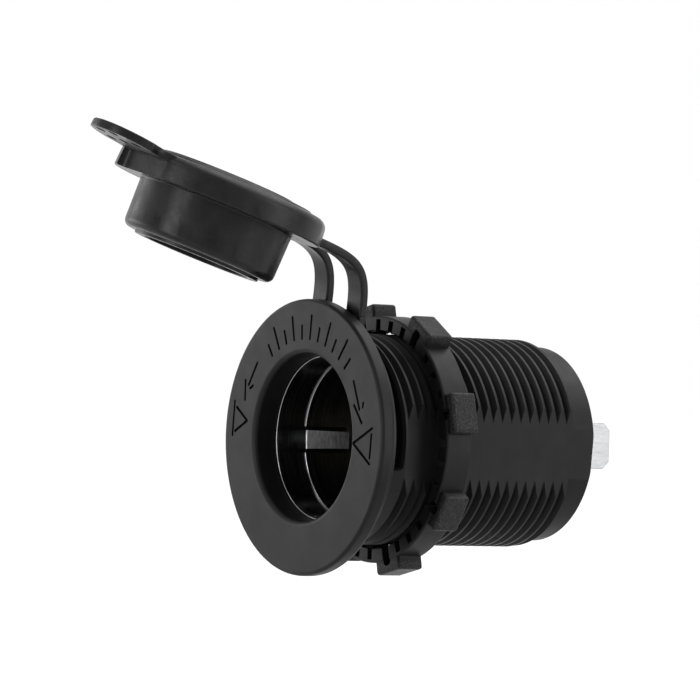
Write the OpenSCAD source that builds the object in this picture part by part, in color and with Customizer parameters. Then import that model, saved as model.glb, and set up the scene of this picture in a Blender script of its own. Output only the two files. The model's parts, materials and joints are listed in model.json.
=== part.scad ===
// 12 volt power socket for a panel, with a rubber cap on a two-armed strap.
// The socket's axis lies along Y: the mouth looks towards -Y, the terminals towards +Y.
// The origin is on the axis, in the plane where the panel's front face sits.

/* [Flange and mouth] */
// Diameter of the round flange
flange_d = 37; // [35:0.5:42]
// Thickness of the flange
flange_t = 2.3; // [1.8:0.1:3.5]
// Radius of the flange's outer edges
flange_edge_r = 0.5; // [0.2:0.1:0.8]
// Radius of the flange's rear edge
flange_rear_r = 0.8; // [0.2:0.1:1]
// Radius of the rounded edge of the mouth
mouth_edge_r = 0.6; // [0.4:0.1:1.4]

/* [Barrel and thread] */
// Length from the flange's face to the rear rim
body_len = 39.1; // [36:0.1:46]
// Diameter over the thread's crests
thread_d = 28.4; // [28.2:0.1:30]
// Distance from one thread groove to the next
thread_pitch = 1.55; // [1.3:0.05:1.8]
// Number of thread grooves
thread_n = 19; // [17:1:19]
// Depth of a thread groove
thread_depth = 0.75; // [0.5:0.05:0.8]
// Width of the flat land on a crest
thread_land = 0.35; // [0.2:0.05:0.6]
// Width of the flat at the bottom of a groove
thread_root = 0.2; // [0.1:0.05:0.3]
// Length of the plain shoulder in front of the thread
shoulder_len = 3.6; // [3:0.1:4]
// Distance across the barrel's two flats
flats_w = 25.8; // [25.4:0.1:26.2]
// Depth of the locating notch in the shoulder, on each side
notch_depth = 1.8; // [0.8:0.1:2]
// Angle that each locating notch spans
notch_span = 47; // [20:1:60]
// Angle from the middle of a flat up to the middle of its notch
notch_turn = 12.4; // [0:0.2:20]
// Diameter of the smooth collar at the rear
collar_d = 26.8; // [26.4:0.1:27.6]
// Radius of the collar's rear edge
collar_edge_r = 0.7; // [0.3:0.1:1]
// Thickness of the barrel's floor
floor_t = 1.6; // [1.2:0.1:2.4]
// Depth of the recess behind the floor
rear_recess = 1.1; // [0.6:0.1:2]

/* [Contact shell] */
// Bore that grips the plug
socket_d = 21.2; // [20.9:0.1:21.4]
// Extra bore diameter in front of the shell's step
socket_lead = 0.5; // [0.4:0.1:0.7]
// Wall thickness of the shell
shell_wall = 0.3; // [0.25:0.05:0.4]
// Distance from the flange's face to the shell's rim
shell_inset = 3.4; // [2.5:0.1:5]
// Distance from the flange's face to the shell's step
shell_step = 7.9; // [7.6:0.1:10]
// Length of the shell's narrower bottom, which holds the centre contact
shell_base_len = 4.9; // [4.6:0.1:6]
// How much narrower the shell's bottom is than its bore
shell_base_in = 0.8; // [0.6:0.1:1.2]
// Width of each side tongue
tongue_w = 2.6; // [2:0.1:4]
// Length of each side tongue
tongue_len = 10.5; // [8:0.5:14]
// Turn of the side tongues about the axis
tongue_turn = -7; // [-20:1:20]
// Width of the slots that free a tongue
tongue_slot = 0.5; // [0.3:0.05:0.8]

/* [Terminals] */
// Thread diameter of the centre screw
screw_d = 4; // [3:0.5:4]
// Diameter of the centre screw's head
screw_head_d = 7; // [6.6:0.1:7.2]
// Height of the centre screw's head
screw_head_h = 2; // [1.5:0.1:2.6]
// Width across the flats of the terminal nut
terminal_nut_w = 7; // [6.4:0.1:7]
// Thickness of the terminal nut
terminal_nut_t = 3; // [2:0.1:3.2]
// Thickness of the split washer
washer_t = 1; // [0.8:0.1:1.2]
// Width of the front insulator's edge beyond the centre contact
insulator_edge = 0.4; // [0.2:0.1:0.5]
// Thickness of the front insulator
insulator_t = 1.6; // [1:0.1:2.5]
// Width of the centre contact's raised rim beyond the screw's head
contact_rim = 0.9; // [0.8:0.05:1]
// Height of the centre contact's raised rim
contact_dish = 1.1; // [0.8:0.1:1.4]
// Sheet thickness of the centre contact
contact_t = 0.5; // [0.4:0.1:0.8]
// Width of the terminal blades
blade_w = 6.3; // [4.8:0.1:6.5]
// Thickness of the terminal blades
blade_t = 0.8; // [0.5:0.1:1]
// Length of the blades behind the barrel's floor
blade_len = 10.2; // [9:0.1:14]
// Turn of both terminals about the axis, away from the barrel's flats
terminal_turn = -5; // [-12:1:12]
// Distance from the socket's axis to the positive blade's middle
positive_x = 4.6; // [4.6:0.1:5]
// Distance from the socket's axis to the negative blade's middle
negative_x = 8.8; // [8.6:0.1:9.2]

/* [Lock nut] */
// Diameter of the lock nut's ring
nut_d = 33.6; // [33:0.1:35]
// Diameter over the lock nut's lugs
nut_lug_d = 36.1; // [35.4:0.1:38]
// Width of one lug
nut_lug_w = 5.4; // [4:0.1:6]
// Thickness of the lock nut
nut_t = 4.15; // [3.6:0.05:5]
// Thread groove that the nut's first ridge sits in, counted from the flange
nut_groove = 3; // [2:1:14]
// Distance from the nut's front face to its first ridge
nut_lead = 0.7; // [0.6:0.05:1]
// Turn of the nut about the barrel
nut_turn = 27; // [0:0.5:45]
// Width of the slots in the nut's front face
nut_slot_w = 1; // [0.6:0.1:1.3]
// Depth of the slots and pockets in the nut's front face
nut_slot_depth = 2.6; // [1:0.1:3]
// Width of the pocket in each lug
nut_pocket_w = 1.7; // [1:0.1:2.5]

/* [Strap] */
// Thickness of the ring behind the flange
ring_t = 1.4; // [1:0.1:2]
// Outer diameter of the ring
ring_d = 33.4; // [32.5:0.1:35]
// Turn of the strap about the socket's axis
strap_turn = 6; // [0:0.5:10]
// Width of each strap arm
arm_w = 3.4; // [2.5:0.1:4.5]
// Thickness of each strap arm
arm_t = 1.15; // [0.8:0.05:1.4]
// Distance between the middles of the two arms
arm_spacing = 8; // [6.5:0.1:9]
// Height of the ear beyond the ring's edge
ear_h = 1; // [0.6:0.1:1.6]
// Height of the flexing point above the flange's edge
pole_up = 3.6; // [3.2:0.1:4.5]
// Distance from the flange's face back to the flexing point
pole_back = 1.8; // [1:0.05:2.4]
// How far the open cap leans back from the flange's plane
open_tilt = 17.2; // [10:0.2:25]

/* [Cap] */
// Diameter of the cap's disc
cap_d = 28.9; // [28:0.1:32]
// Height of the cap's disc at its rim
cap_t = 3.5; // [3.3:0.1:4.5]
// Radius of the disc's top edge
cap_edge_r = 1.1; // [0.5:0.1:1.2]
// Diameter of the lower raised step on the disc
step_d = 24.2; // [22:0.2:26]
// Diameter of the upper raised step on the disc
crown_d = 19; // [16:0.5:21]
// Height of each raised step
step_h = 0.35; // [0.2:0.05:0.6]
// Diameter of the plug where it meets the disc
plug_d = 21.2; // [20.8:0.1:21.3]
// How much narrower the plug is at its lower end
plug_taper = 0.3; // [0.2:0.05:0.6]
// Length of the plug below the disc
plug_len = 6.8; // [5:0.1:7.2]
// Radius of the plug's lower edge
plug_edge_r = 1; // [0.8:0.1:1.5]
// Outer diameter of the lip under the plug
lip_d = 17.3; // [15:0.1:17.5]
// Height of the lip
lip_h = 0.4; // [0.3:0.1:0.7]
// Diameter of the hollow inside the plug
hollow_d = 14.6; // [12:0.1:15]
// Half width of the finger recess under the pull tab
recess_w = 5.4; // [4.5:0.1:6.5]
// Depth of the finger recess from the rim
recess_depth = 2; // [1.4:0.1:2.3]
// Radius of the finger recess's inner corners
recess_r = 1.2; // [0.4:0.1:1.3]
// Length of the pull tab beyond the disc's middle
tab_reach = 21.8; // [19:0.1:26]
// Width of the pull tab
tab_w = 10.4; // [8:0.1:12]
// Thickness of the pull tab
tab_t = 1; // [0.8:0.1:1.4]
// Upward slope of the pull tab
tab_slope = 5; // [0:0.5:8]
// Diameter of the grip dimples under the tab
grip_d = 1; // [0.6:0.1:1.4]
// Distance from one grip dimple to the next
grip_step = 3; // [2.4:0.1:3.2]

/* [Hidden] */
$fn = 96;
// Clearance between parts that slide or turn on each other
running_gap = 0.1;
// Clearance between the contact shell and the housing
shell_gap = 0.05;
// Overlap that keeps cutting tools clear of the faces they cut
cut = 0.5;

// Places along the axis, from the face backwards
face_y = -(flange_t + ring_t);
rim_y = face_y + body_len;
floor_back = rim_y - rear_recess;
floor_front = floor_back - floor_t;
shell_rim = face_y + shell_inset;
step_y = face_y + shell_step;
shell_inside = floor_front - shell_wall;
base_y = shell_inside - shell_base_len;
insulator_front = shell_inside - insulator_t;
contact_front = insulator_front - contact_t;
terminal_back = floor_back + blade_t;
washer_back = terminal_back + washer_t;
terminal_nut_back = washer_back + terminal_nut_t;
blade_end = floor_back + blade_len;

// Radii about the axis
flange_r = flange_d / 2;
crest_r = thread_d / 2;
root_r = crest_r - thread_depth;
collar_r = collar_d / 2;
socket_r = socket_d / 2;
lead_r = socket_r + socket_lead / 2;
mouth_r = lead_r + shell_wall + shell_gap;
bore_r = socket_r + shell_wall + shell_gap;
base_r = socket_r - shell_base_in / 2;
neck_r = root_r;
screw_hole_r = screw_d / 2 + running_gap;
contact_r = screw_head_d / 2 + contact_rim;
insulator_r = contact_r + insulator_edge;

// Thread
groove_w = thread_pitch - thread_land;
groove_y = [for (i = [0 : thread_n - 1]) shoulder_len + groove_w / 2 + i * thread_pitch];
thread_end = groove_y[thread_n - 1] + groove_w / 2;

// Lock nut
lug_n = 8;
slots_between = 3;
slot_step = 10.5;
nut_front = groove_y[nut_groove] - nut_lead;
nut_back = nut_front + nut_t;
slot_inner_r = crest_r + 0.6;
nut_edge = 0.3;
nut_rim = 0.6;
lug_inset = 0.1;

// Cap, in the strap's own plane: y along the axis, w outwards from it
root_lift = 0.35;
close_angle = 90 + open_tilt;
pole_y = face_y + pole_back;
pole_w = flange_r + pole_up;
seat_y = face_y - running_gap;
cap_r = cap_d / 2;
plug_r = plug_d / 2;
function turn(p, a) = [p[0] * cos(a) - p[1] * sin(a), p[0] * sin(a) + p[1] * cos(a)];
cap_open = [pole_y, pole_w] + turn([seat_y - pole_y, -pole_w], -close_angle);
cap_out = [cos(open_tilt), -sin(open_tilt)];
cap_up = [sin(open_tilt), cos(open_tilt)];

// Strap arms: a curve from the ring's ear to the root lugs on the cap
root_reach = cap_r + 0.2;
ear_top = ring_d / 2 + ear_h;
arm_foot = [-ring_t / 2, ear_top];
arm_head = cap_open + root_reach * cap_out + (root_lift + arm_t / 2) * cap_up;
arm_foot_pull = 6.3;
arm_head_pull = 6.2;
arm_steps = 20;

// Pull tab: how far it runs in under the disc's top layer, and how much wider it is there
tab_lap = 2.5;
tab_flare = 1.1;

// Point and direction of a cubic curve through a, pulled by b and c, to d
function curve(a, b, c, d, t) =
    pow(1 - t, 3) * a + 3 * pow(1 - t, 2) * t * b + 3 * (1 - t) * t * t * c + pow(t, 3) * d;
function slope(a, b, c, d, t) =
    3 * pow(1 - t, 2) * (b - a) + 6 * (1 - t) * t * (c - b) + 3 * t * t * (d - c);
function unit(v) = v / norm(v);

// Points of a circle's arc, for rounded corners in a profile
function arc(centre, r, from, to, n = 6) =
    [for (i = [0 : n]) centre + r * [cos(from + (to - from) * i / n), sin(from + (to - from) * i / n)]];

// Turns a shape drawn about Z so that its axis lies along Y
module along_axis() {
    rotate([-90, 0, 0]) children();
}

// A ring about the socket's axis, from one place along it to another
module tube(outer, inner, from, to) {
    along_axis()
        translate([0, 0, from])
            difference() {
                cylinder(r = outer, h = to - from);
                translate([0, 0, -cut])
                    cylinder(r = inner, h = to - from + 2 * cut);
            }
}

// The flange, thread, collar and floor, as one turned outline
module housing_profile() {
    threads = [for (y = groove_y, p = [
        [crest_r, y - groove_w / 2],
        [root_r, y - thread_root / 2],
        [root_r, y + thread_root / 2],
        [crest_r, y + groove_w / 2]]) p];
    flange_back = -ring_t;
    polygon(concat(
        arc([mouth_r + mouth_edge_r, face_y + mouth_edge_r], mouth_edge_r, 180, 270),
        arc([flange_r - flange_edge_r, face_y + flange_edge_r], flange_edge_r, 270, 360),
        arc([flange_r - flange_rear_r, flange_back - flange_rear_r], flange_rear_r, 0, 90),
        [[neck_r, flange_back], [neck_r, 0], [crest_r, 0]],
        threads,
        [[crest_r, thread_end + thread_land], [collar_r, thread_end + thread_land + crest_r - collar_r]],
        arc([collar_r - collar_edge_r, rim_y - collar_edge_r], collar_edge_r, 0, 90),
        [[bore_r, rim_y], [bore_r, floor_back], [screw_hole_r, floor_back], [screw_hole_r, floor_front]],
        [[bore_r, floor_front], [bore_r, step_y + shell_wall], [mouth_r, step_y + shell_wall]]));
}

// Moulded body: flange, interrupted thread, two flats, and the floor that carries the terminals
module housing() {
    flat = flats_w / 2;
    flat_front = shoulder_len + running_gap / 2;
    color("#2c2c2e")
        difference() {
            along_axis() rotate_extrude() housing_profile();
            for (side = [0, 180]) {
                rotate([0, side, 0])
                    translate([flat, flat_front, -flange_r])
                        cube([flange_r, rim_y + cut - flat_front, flange_d]);
                rotate([0, side - notch_turn, 0]) shoulder_notch();
            }
            at_terminals() negative_window();
        }
}

// Locating notch in the plain shoulder, with a round floor
module shoulder_notch() {
    half = notch_span / 2;
    along_axis()
        difference() {
            linear_extrude(shoulder_len - thread_land)
                polygon([[0, 0], flange_r * [cos(half), -sin(half)], flange_r * [cos(half), sin(half)]]);
            translate([0, 0, -cut])
                cylinder(r = crest_r - notch_depth, h = shoulder_len + cut);
        }
}

// Turns a shape to where the terminals stand
module at_terminals() {
    rotate([0, terminal_turn, 0]) children();
}

// Window in the floor for the foot of the negative terminal
module negative_window() {
    inner = negative_x - foot_reach - blade_t / 2 - 2 * running_gap;
    outer = negative_x + blade_t / 2 + 2 * running_gap;
    height = blade_w + 4 * running_gap;
    translate([-outer, floor_front - cut, -height / 2])
        cube([outer - inner, floor_t + 2 * cut, height]);
}

// Plated shell: a drawn cup with a step, a narrower bottom, two lanced side tongues and a hole
module contact_shell() {
    outer_r = socket_r + shell_wall;
    lead_outer = lead_r + shell_wall;
    base_outer = base_r + shell_wall;
    rim_round = shell_wall / 2;
    color("#c8c8c4")
        difference() {
            along_axis() rotate_extrude() polygon(concat(
                arc([lead_r + rim_round, shell_rim + rim_round], rim_round, 180, 360),
                [[lead_outer, step_y + shell_wall], [outer_r, step_y + shell_wall]],
                [[outer_r, base_y + shell_wall], [base_outer, base_y + shell_wall]],
                [[base_outer, floor_front], [boss_hole_r, floor_front], [boss_hole_r, shell_inside]],
                [[base_r, shell_inside], [base_r, base_y], [socket_r, base_y]],
                [[socket_r, step_y], [lead_r, step_y]]));
            for (side = [0, 180]) rotate([0, side + tongue_turn, 0]) tongue_slots();
            at_terminals()
                translate([-rivet_x, floor_front - cut - shell_wall, 0])
                    along_axis() cylinder(r = rivet_r, h = shell_wall + 2 * cut);
        }
}

boss_wall = 1.8;
boss_hole_r = screw_d / 2 + boss_wall;
rivet_r = 1.1;
rivet_head_r = 1.7;
rivet_head_h = 0.7;
foot_reach = 3.2;
rivet_x = negative_x - blade_t / 2 - foot_reach / 2;
tongue_from = shell_rim + 0.9;
tongue_to = tongue_from + tongue_len;

// The two long cuts and the end cut that free one tongue
module tongue_slots() {
    depth = 3 * shell_wall;
    for (end = [0, 1]) mirror([0, 0, end])
        translate([socket_r - shell_wall, tongue_from, tongue_w / 2])
            cube([depth + shell_wall, tongue_len, tongue_slot]);
    translate([socket_r - shell_wall, tongue_to - tongue_slot, -tongue_w / 2])
        cube([depth + shell_wall, tongue_slot, tongue_w]);
}

// Stepped washer that keeps the centre contact off the shell
module front_insulator() {
    color("#5a4632")
        difference() {
            union() {
                tube(insulator_r, screw_hole_r, insulator_front, shell_inside);
                tube(boss_hole_r - running_gap, screw_hole_r, shell_inside - cut, floor_front);
            }
            tube(screw_hole_r, 0, insulator_front - cut, floor_front + cut);
        }
}

// Dished contact that meets the plug's tip
module centre_contact() {
    flat_r = screw_head_d / 2 + 2 * running_gap;
    top = contact_front - contact_dish;
    color("#b8923a")
        along_axis() rotate_extrude() polygon([
            [screw_hole_r, contact_front], [flat_r, contact_front], [contact_r - contact_t, top],
            [contact_r, top + contact_t / 2], [flat_r + contact_t, insulator_front],
            [screw_hole_r, insulator_front]]);
}

// Round-headed screw that clamps the whole stack to the barrel's floor
module centre_screw() {
    head_r = screw_head_d / 2;
    head_edge = 0.8;
    tip = 0.5;
    slot_w = 1;
    slot_depth = 0.9;
    color("#c9a24a")
        difference() {
            along_axis() rotate_extrude() polygon(concat(
                [[0, contact_front - screw_head_h]],
                arc([head_r - head_edge, contact_front - screw_head_h + head_edge], head_edge, 270, 360),
                [[head_r, contact_front], [screw_d / 2, contact_front]],
                [[screw_d / 2, terminal_nut_back + tip], [screw_d / 2 - tip, terminal_nut_back + 2 * tip]],
                [[0, terminal_nut_back + 2 * tip]]));
            translate([-head_r, contact_front - screw_head_h - cut, -slot_w / 2])
                cube([screw_head_d, slot_depth + cut, slot_w]);
        }
}

// Flat blade with a chamfered end and a locking hole, standing along Y in the plane x = 0
module blade(from) {
    chamfer = 1;
    hole_r = 0.85;
    hole_back = 4;
    half = blade_w / 2;
    translate([-blade_t / 2, 0, 0])
        rotate([90, 0, 90])
            linear_extrude(blade_t)
                difference() {
                    polygon([
                        [from, -half], [blade_end - chamfer, -half], [blade_end, -half + chamfer],
                        [blade_end, half - chamfer], [blade_end - chamfer, half], [from, half]]);
                    translate([blade_end - hole_back, 0]) circle(r = hole_r);
                }
}

// Positive terminal: a ring tab under the nut, bent into a blade
module positive_terminal() {
    tab_r = terminal_nut_w / 2 + 0.3;
    color("#c4c6c8") at_terminals() {
        translate([positive_x, 0, 0]) blade(floor_back);
        difference() {
            union() {
                tube(tab_r, screw_hole_r, floor_back, terminal_back);
                translate([0, floor_back, -blade_w / 2])
                    cube([positive_x, blade_t, blade_w]);
            }
            tube(screw_hole_r, 0, floor_back - cut, terminal_back + cut);
        }
    }
}

// Spring washer with its cut
module split_washer() {
    gap = 0.6;
    color("#9fa3a6")
        difference() {
            tube(terminal_nut_w / 2 - 0.2, screw_hole_r, terminal_back, washer_back);
            translate([-gap / 2, terminal_back - cut, 0])
                cube([gap, washer_t + 2 * cut, terminal_nut_w]);
        }
}

// Hexagon nut on the centre screw, a flat towards the blade
module terminal_nut() {
    corner_r = terminal_nut_w / 2 / cos(30);
    bevel = 0.4;
    color("#c9a24a")
        at_terminals() along_axis()
            difference() {
                intersection() {
                    translate([0, 0, washer_back])
                        rotate([0, 0, 30]) cylinder(r = corner_r, h = terminal_nut_t, $fn = 6);
                    rotate_extrude() polygon([
                        [0, washer_back], [corner_r - bevel, washer_back], [corner_r, washer_back + bevel],
                        [corner_r, terminal_nut_back - bevel], [corner_r - bevel, terminal_nut_back],
                        [0, terminal_nut_back]]);
                }
                translate([0, 0, washer_back - cut])
                    cylinder(r = screw_d / 2, h = terminal_nut_t + 2 * cut);
            }
}

// Negative terminal: a foot against the shell's bottom, bent into a blade
module negative_terminal() {
    color("#c4c6c8") at_terminals() {
        translate([-negative_x, 0, 0]) blade(floor_front);
        difference() {
            translate([-negative_x, floor_front, -blade_w / 2])
                cube([foot_reach + blade_t / 2, blade_t, blade_w]);
            translate([-rivet_x, floor_front - cut, 0])
                along_axis() cylinder(r = rivet_r, h = blade_t + 2 * cut);
        }
    }
}

// Rivet that joins the negative terminal to the shell
module negative_rivet() {
    stack_back = floor_front + blade_t;
    color("#a9abad")
        at_terminals() translate([-rivet_x, 0, 0]) {
            tube(rivet_head_r, 0, shell_inside - rivet_head_h, shell_inside);
            tube(rivet_r, 0, shell_inside - rivet_head_h, stack_back + rivet_head_h);
            tube(rivet_head_r - 0.3, 0, stack_back, stack_back + rivet_head_h);
        }
}

// Internal thread of the lock nut: ridges that stand in the barrel's grooves
module nut_profile() {
    wall_r = crest_r + running_gap;
    ridge_r = root_r + running_gap;
    ridge_w = groove_w - 3 * running_gap;
    difference() {
        polygon([
            [ridge_r, nut_front], [nut_d / 2 - nut_edge, nut_front], [nut_d / 2, nut_front + nut_edge],
            [nut_d / 2, nut_back - nut_edge], [nut_d / 2 - nut_edge, nut_back], [ridge_r, nut_back]]);
        polygon(concat(
            [[0, nut_front - thread_pitch], [wall_r, nut_front - thread_pitch]],
            [for (i = [nut_groove : nut_groove + floor((nut_t - nut_lead + ridge_w / 2) / thread_pitch)], p = [
                [wall_r, groove_y[i] - ridge_w / 2],
                [ridge_r, groove_y[i] - thread_root / 4],
                [ridge_r, groove_y[i] + thread_root / 4],
                [wall_r, groove_y[i] + ridge_w / 2]]) p],
            [[wall_r, nut_back + thread_pitch], [0, nut_back + thread_pitch]]));
    }
}

// One lug of the lock nut, at the top of the ring
module nut_lug() {
    side = nut_lug_w / 2;
    top = nut_lug_d / 2;
    base = nut_d / 2 - 1;
    front = nut_front + lug_inset;
    back = nut_back - lug_inset;
    translate([-side, 0, 0])
        rotate([90, 0, 90])
            linear_extrude(nut_lug_w)
                polygon([
                    [front, base], [front, top - nut_edge], [front + nut_edge, top],
                    [back - nut_edge, top], [back, top - nut_edge], [back, base]]);
}

// Slot in the nut's front face, from one radius to another
module nut_slot(width, inner, outer) {
    translate([-width / 2, nut_front - cut, inner])
        cube([width, cut + nut_slot_depth, outer - inner]);
}

// Plastic lock nut with eight lugs, cored out from the front
module lock_nut() {
    pitch_angle = 360 / lug_n;
    color("#303032")
        rotate([0, nut_turn, 0])
            difference() {
                union() {
                    along_axis() rotate_extrude() nut_profile();
                    for (i = [0 : lug_n - 1]) rotate([0, i * pitch_angle, 0]) nut_lug();
                }
                for (i = [0 : lug_n - 1]) rotate([0, i * pitch_angle, 0]) {
                    nut_slot(nut_pocket_w, slot_inner_r, nut_lug_d / 2 - nut_rim);
                    for (j = [0 : slots_between - 1])
                        rotate([0, pitch_angle / 2 + (j - (slots_between - 1) / 2) * slot_step, 0])
                            nut_slot(nut_slot_w, slot_inner_r, nut_d / 2 - nut_rim);
                }
            }
}

// Places a shape drawn in the strap's plane: x sideways, y along the axis, z outwards
module in_strap_plane() {
    rotate([0, strap_turn, 0]) children();
}

// Rubber ring clamped behind the flange, with the ear that carries both arms
module strap_ring() {
    ear_w = arm_spacing + arm_w;
    color("#232325")
        in_strap_plane()
            difference() {
                union() {
                    tube(ring_d / 2, neck_r, -ring_t, 0);
                    translate([-ear_w / 2, -ring_t / 2 - arm_t / 2, 0])
                        cube([ear_w, arm_t, ear_top]);
                }
                tube(neck_r, 0, -ring_t - cut, cut);
            }
}

// One arm's outline in the strap's plane, of even thickness along its curve
module arm_outline() {
    b = arm_foot + [0, arm_foot_pull];
    c = arm_head + arm_head_pull * cap_out;
    function edge(t, side) =
        let (d = unit(slope(arm_foot, b, c, arm_head, t)))
        curve(arm_foot, b, c, arm_head, t) + side * arm_t / 2 * [d[1], -d[0]];
    polygon(concat(
        [for (i = [0 : arm_steps]) edge(i / arm_steps, 1)],
        [for (i = [arm_steps : -1 : 0]) edge(i / arm_steps, -1)]));
}

// The two curved arms between the ring and the cap
module strap_arms() {
    color("#232325")
        in_strap_plane()
            for (side = [-1, 1])
                translate([side * arm_spacing / 2 - arm_w / 2, 0, 0])
                    rotate([90, 0, 90]) linear_extrude(arm_w) arm_outline();
}

// The cap's disc and plug as one turned outline, about Z with the disc's underside at 0
module cap_profile() {
    lower_r = cap_r - 0.1;
    under_edge = 0.7;
    floor_z = 1.2;
    top = cap_t + 2 * step_h;
    lip_z = -plug_len - lip_h;
    polygon(concat(
        [[0, floor_z], [hollow_d / 2, floor_z], [hollow_d / 2, lip_z], [lip_d / 2, lip_z]],
        [[lip_d / 2, -plug_len]],
        arc([plug_r - plug_taper / 2 - plug_edge_r, -plug_len + plug_edge_r], plug_edge_r, 270, 360),
        [[plug_r, 0]],
        arc([lower_r - under_edge, under_edge], under_edge, 270, 360),
        arc([cap_r - cap_edge_r, cap_t - cap_edge_r], cap_edge_r, 0, 90),
        [[step_d / 2, cap_t], [step_d / 2 - step_h, cap_t + step_h]],
        [[crown_d / 2, cap_t + step_h], [crown_d / 2 - step_h, top], [0, top]]));
}

// Pull tab: a rounded tongue that leaves the disc's top layer, with grip dimples underneath
module pull_tab() {
    half = tab_w / 2;
    root = -(cap_r - cap_edge_r - tab_lap);
    tab_root_w = half + tab_flare;
    end = -(tab_reach - half);
    grip_edge = grip_d / 2 + 1.1;
    difference() {
        linear_extrude(tab_t) {
            translate([0, end]) circle(r = half);
            polygon([[-half, end], [half, end], [tab_root_w, root], [-tab_root_w, root]]);
        }
        for (row = [0, 1], i = [0 : 1 + row])
            translate([(i - (1 + row) / 2) * grip_step, end - half + grip_edge + row * grip_step, -cut])
                cylinder(r = grip_d / 2, h = cut + tab_t / 2, $fn = 24);
    }
}

// Outline of the finger recess in the disc's rim, seen from above
module recess_outline() {
    outer = -cap_r - cut;
    inner = -cap_r + recess_depth - recess_r;
    side = recess_w - recess_r;
    polygon(concat(
        [[-recess_w, outer], [recess_w, outer]],
        arc([side, inner], recess_r, 0, 90),
        arc([-side, inner], recess_r, 90, 180)));
}

// The cap as it lies in its own frame: underside at z = 0, strap roots towards +Y, pull tab towards -Y
module cap_body() {
    tab_base = cap_t - tab_t;
    hinge_line = -(cap_r - cap_edge_r);
    difference() {
        rotate_extrude() cap_profile();
        translate([0, 0, -cut])
            linear_extrude(tab_base + cut) recess_outline();
    }
    translate([0, hinge_line, tab_base])
        rotate([-tab_slope, 0, 0])
            translate([0, -hinge_line, 0]) pull_tab();
    for (side = [-1, 1])
        translate([side * arm_spacing / 2 - arm_w / 2, cap_r - 1, root_lift])
            cube([arm_w, root_reach - cap_r + 1, arm_t]);
}

// Rubber cap, held open as it springs on its strap
module cap() {
    color("#232325")
        in_strap_plane()
            translate([0, cap_open[0], cap_open[1]])
                rotate([-open_tilt, 0, 0]) cap_body();
}

housing();
contact_shell();
front_insulator();
centre_contact();
centre_screw();
positive_terminal();
split_washer();
terminal_nut();
negative_terminal();
negative_rivet();
lock_nut();
strap_ring();
strap_arms();
cap();
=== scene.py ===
import json
import math

import bmesh
import bpy
from mathutils import Matrix, Vector

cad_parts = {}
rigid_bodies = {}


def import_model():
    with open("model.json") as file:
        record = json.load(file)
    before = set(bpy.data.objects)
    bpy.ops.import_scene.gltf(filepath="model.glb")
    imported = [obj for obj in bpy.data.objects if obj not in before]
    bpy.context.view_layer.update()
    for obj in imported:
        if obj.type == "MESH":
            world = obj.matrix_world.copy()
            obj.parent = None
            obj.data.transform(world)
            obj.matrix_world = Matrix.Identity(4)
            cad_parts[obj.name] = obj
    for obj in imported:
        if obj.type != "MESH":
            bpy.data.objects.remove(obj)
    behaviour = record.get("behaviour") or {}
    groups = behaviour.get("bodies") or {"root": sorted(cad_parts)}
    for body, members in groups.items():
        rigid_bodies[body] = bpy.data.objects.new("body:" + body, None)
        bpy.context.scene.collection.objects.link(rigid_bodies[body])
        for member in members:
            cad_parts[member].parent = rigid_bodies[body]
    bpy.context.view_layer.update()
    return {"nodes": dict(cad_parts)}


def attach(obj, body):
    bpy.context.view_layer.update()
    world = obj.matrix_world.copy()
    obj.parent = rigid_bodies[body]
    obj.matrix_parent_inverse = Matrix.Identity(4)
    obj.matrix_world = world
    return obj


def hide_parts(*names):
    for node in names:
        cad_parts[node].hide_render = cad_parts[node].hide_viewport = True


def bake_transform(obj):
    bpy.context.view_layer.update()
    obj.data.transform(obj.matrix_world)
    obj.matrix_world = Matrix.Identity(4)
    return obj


bl_info = {
    "name": "Panel Power Socket",
    "version": (1, 0, 0),
    "blender": (4, 5, 0),
    "location": "View3D > Sidebar > Power Socket",
    "description": "Builds a panel-mount 12 volt socket with its lock nut, strap and rubber cap",
    "category": "Add Mesh",
}

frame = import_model()

# Every shape below is drawn in millimetres.
# Y runs along the socket's axis from the mouth backwards, and Z is up.
MM = 0.001

# Places along the axis
FACE = -3.7
RING_FRONT = -1.4
SHOULDER = 3.6
STEP = 4.2
BASE = 27.5
THREAD_END = 31.42
COLLAR_FRONT = 31.7
SHELL_FLOOR = 32.4
FLOOR_FRONT = 32.7
FLOOR_BACK = 34.3
RIM = 35.4
BLADE_END = 44.5

# Radii about the axis
FLANGE_R = 18.5
CREST_R = 14.2
NECK_R = 13.45
COLLAR_R = 13.3
MOUTH_R = 11.2
BORE_R = 10.95

# The thread, and the steps in a full turn of what is spun
PITCH = 1.55
STEPS = 128

# Distance of each flat from the axis
FLAT = 12.9

# The blades: thickness of their sheet, half their width, and each one's distance to the side
BLADE_SHEET = 0.8
BLADE_HALF = 3.15
POSITIVE_SIDE = 4.6
NEGATIVE_SIDE = -8.8

# Turns about the axis, and the open cap's tilt and place
TERMINAL_TURN = -5
STRAP_TURN = 6
OPEN_TILT = 17.2
CAP_PLACE = Vector((0, -22.4498, 30.4502))


# Sizes and colours that a user would change


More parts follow.
